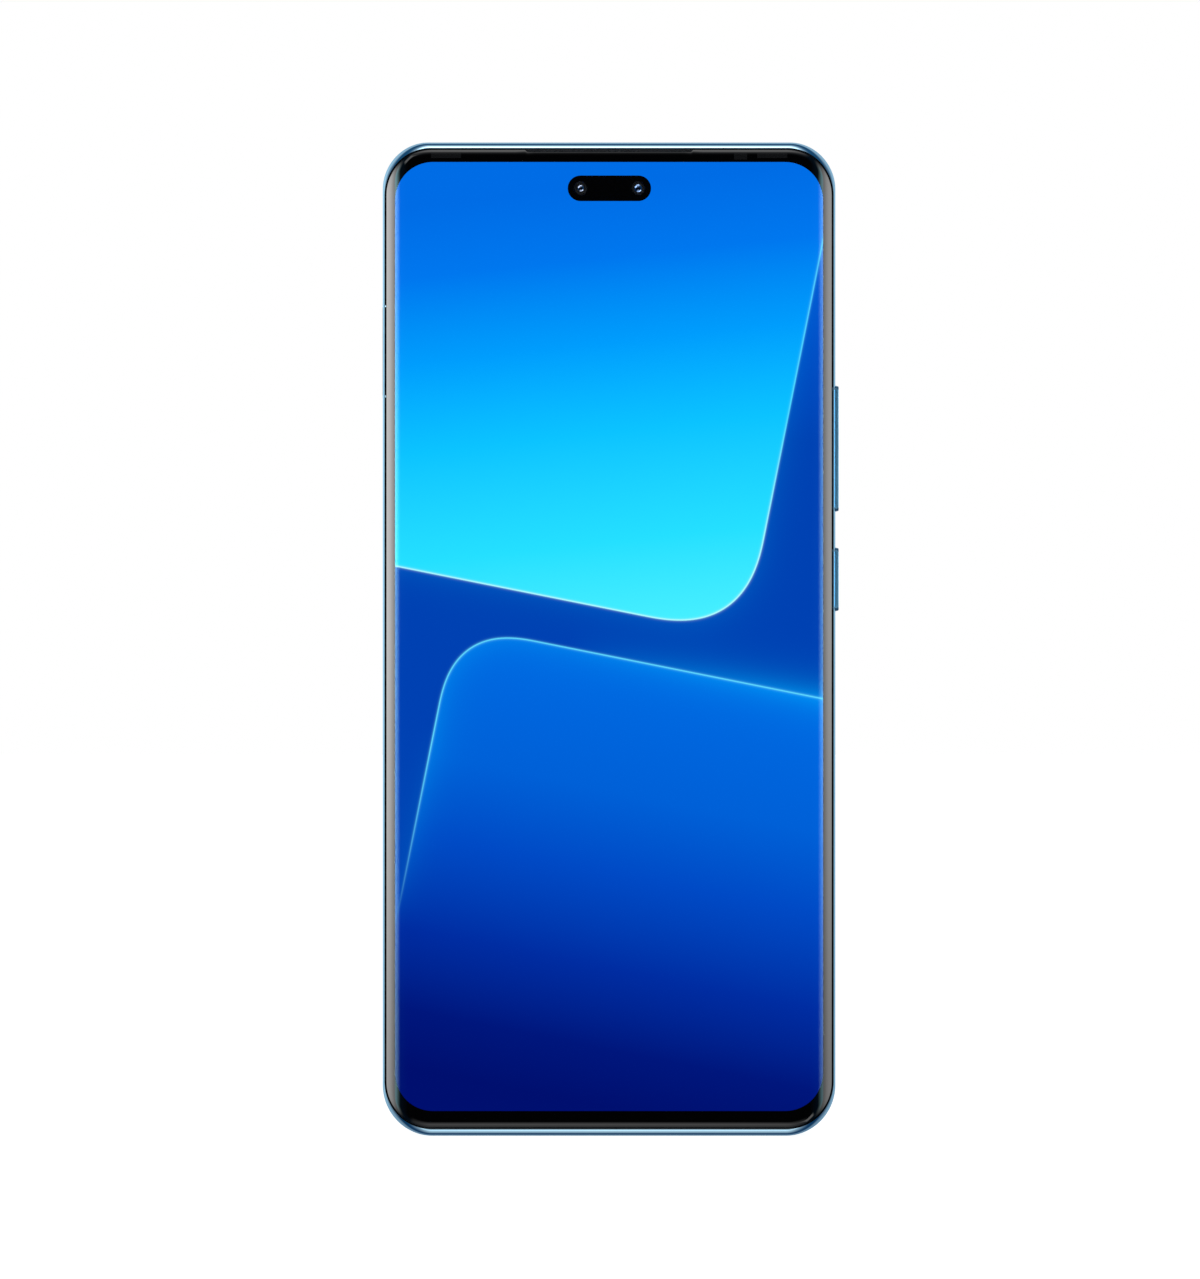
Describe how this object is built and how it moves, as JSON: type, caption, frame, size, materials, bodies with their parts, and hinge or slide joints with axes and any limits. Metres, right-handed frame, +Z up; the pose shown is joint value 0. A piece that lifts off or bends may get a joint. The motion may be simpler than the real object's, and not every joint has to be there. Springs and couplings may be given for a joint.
{
  "type": "smartphone",
  "caption": "Slim smartphone with a curved-side lit display, pill hole for two front cameras, polished light-blue frame, side keys, SIM tray and a rear camera island.",
  "frame": {"origin": "middle of the charging port's mouth, in the plane of the bottom edge", "axes": "+X to the right as the user sees the screen, the screen faces -Y, +Z up the length"},
  "size_m": [0.0733, 0.0089, 0.1592],
  "materials": {
    "frame_metal": "polished, light blue anodised",
    "cover_glass": "clear over a black border",
    "display": "lit display",
    "black_adhesive": "matt foam",
    "orange_ribbon": "polyimide ribbon",
    "graphite": "graphite sheet",
    "sensor_glass": "dark filter glass",
    "camera_black": "black housing",
    "dark_mesh": "fine dark mesh",
    "black_plastic": "fine texture",
    "diaphragm_film": "thin film",
    "battery_foil": "wrapped foil pouch",
    "circuit_board": "solder mask",
    "shield_steel": "tin plated",
    "thermal_pad": "soft pad",
    "copper_coil": "copper film",
    "screw_steel": "plated",
    "port_steel": "plated",
    "seal_rubber": "moulded seal",
    "dense_metal": "sintered",
    "spring_steel": "rolled",
    "infrared_window": "dark red window",
    "back_glass": "frosted light blue",
    "island_metal": "satin light blue",
    "ring_metal": "polished",
    "lens_glass": "coated",
    "flash_diffuser": "milky lens",
    "led_phosphor": "phosphor"
  },
  "bodies": {
    "phone": {"ambient_sensor": "sensor_glass", "back_adhesive": "black_adhesive", "back_cover": "back_glass", "battery": "battery_foil", "battery_adhesive": "black_adhesive", "battery_flex": "orange_ribbon", "bottom_cover": "black_plastic", "camera_bracket": "shield_steel", "camera_island": "island_metal", "camera_rings": "ring_metal", "camera_windows": "lens_glass", "display_adhesive": "black_adhesive", "display_flex": "orange_ribbon", "display_panel": "display", "earpiece_case": "black_plastic", "earpiece_mesh": "dark_mesh", "fingerprint_sensor": "sensor_glass", "flash_led": "led_phosphor", "flash_lens": "flash_diffuser", "frame_screws": "screw_steel", "front_camera_left": "camera_black", "front_camera_right": "camera_black", "front_glass": "cover_glass", "graphite_sheet": "graphite", "infrared_emitter": "infrared_window", "key_domes": "spring_steel", "key_flex": "orange_ribbon", "loudspeaker_box": "black_plastic", "loudspeaker_mesh": "dark_mesh", "macro_camera": "camera_black", "main_board": "circuit_board", "main_board_cover": "black_plastic", "main_camera": "camera_black", "main_flex": "orange_ribbon", "microphones": "shield_steel", "mid_frame": "frame_metal", "nfc_coil": "copper_coil", "processor_shield": "shield_steel", "proximity_sensor": "sensor_glass", "radio_shield": "shield_steel", "shield_pad": "thermal_pad", "sim_reader": "shield_steel", "sub_board": "circuit_board", "usb_seal": "seal_rubber", "usb_shell": "port_steel", "usb_tongue": "black_plastic", "vibration_case": "shield_steel", "vibration_spring_lower": "spring_steel", "vibration_spring_upper": "spring_steel", "wide_camera": "camera_black"},
    "power_button": {"power_button": "frame_metal"},
    "volume_rocker": {"volume_rocker": "frame_metal"},
    "sim_tray": {"sim_tray": "frame_metal", "sim_tray_seal": "seal_rubber"},
    "sim_eject_rod": {"sim_eject_rod": "spring_steel"},
    "sim_eject_lever": {"sim_eject_lever": "spring_steel"},
    "vibration_mass": {"vibration_mass": "dense_metal"},
    "autofocus_lens": {"main_camera_lens": "camera_black"},
    "loudspeaker_cone": {"loudspeaker_diaphragm": "diaphragm_film"},
    "earpiece_cone": {"earpiece_diaphragm": "diaphragm_film"}
  },
  "joints": [
    {"name": "power_press", "type": "slide", "parent": "phone", "child": "power_button", "axis": [-1, 0, 0], "range_m": [0, 0.00025], "stiffness_N_per_m": 600, "springref_m": -0.0003},
    {"name": "volume_tilt", "type": "hinge", "parent": "phone", "child": "volume_rocker", "pos_m": [0.0356, 0, 0.1102], "axis": [0, 1, 0], "range_deg": [-1.2, 1.2], "stiffness_Nm_per_rad": 0.02},
    {"name": "sim_tray_slide", "type": "slide", "parent": "phone", "child": "sim_tray", "axis": [-1, 0, 0], "range_m": [0, 0.0165]},
    {"name": "sim_eject_push", "type": "slide", "parent": "phone", "child": "sim_eject_rod", "axis": [1, 0, 0], "range_m": [0, 0.001]},
    {"name": "sim_eject_rock", "type": "hinge", "parent": "phone", "child": "sim_eject_lever", "pos_m": [-0.0176, 0, 0.1296], "axis": [0, 1, 0], "range_deg": [0, 30]},
    {"name": "vibration_travel", "type": "slide", "parent": "phone", "child": "vibration_mass", "axis": [0, 0, 1], "range_m": [-0.0004, 0.0004], "stiffness_N_per_m": 2000, "deforming": ["vibration_spring_lower", "vibration_spring_upper"]},
    {"name": "autofocus_travel", "type": "slide", "parent": "phone", "child": "autofocus_lens", "axis": [0, 1, 0], "range_m": [0, 0.0003], "stiffness_N_per_m": 200, "springref_m": -0.0003},
    {"name": "loudspeaker_travel", "type": "slide", "parent": "phone", "child": "loudspeaker_cone", "axis": [0, 1, 0], "range_m": [-0.0003, 0.0003], "stiffness_N_per_m": 1000},
    {"name": "earpiece_travel", "type": "slide", "parent": "phone", "child": "earpiece_cone", "axis": [0, 1, 0], "range_m": [-0.00015, 0.00015], "stiffness_N_per_m": 600}
  ],
  "couplings": [
    {"joint": "sim_eject_rock", "follows": "sim_eject_push", "rad_per_m": 523.6}
  ]
}
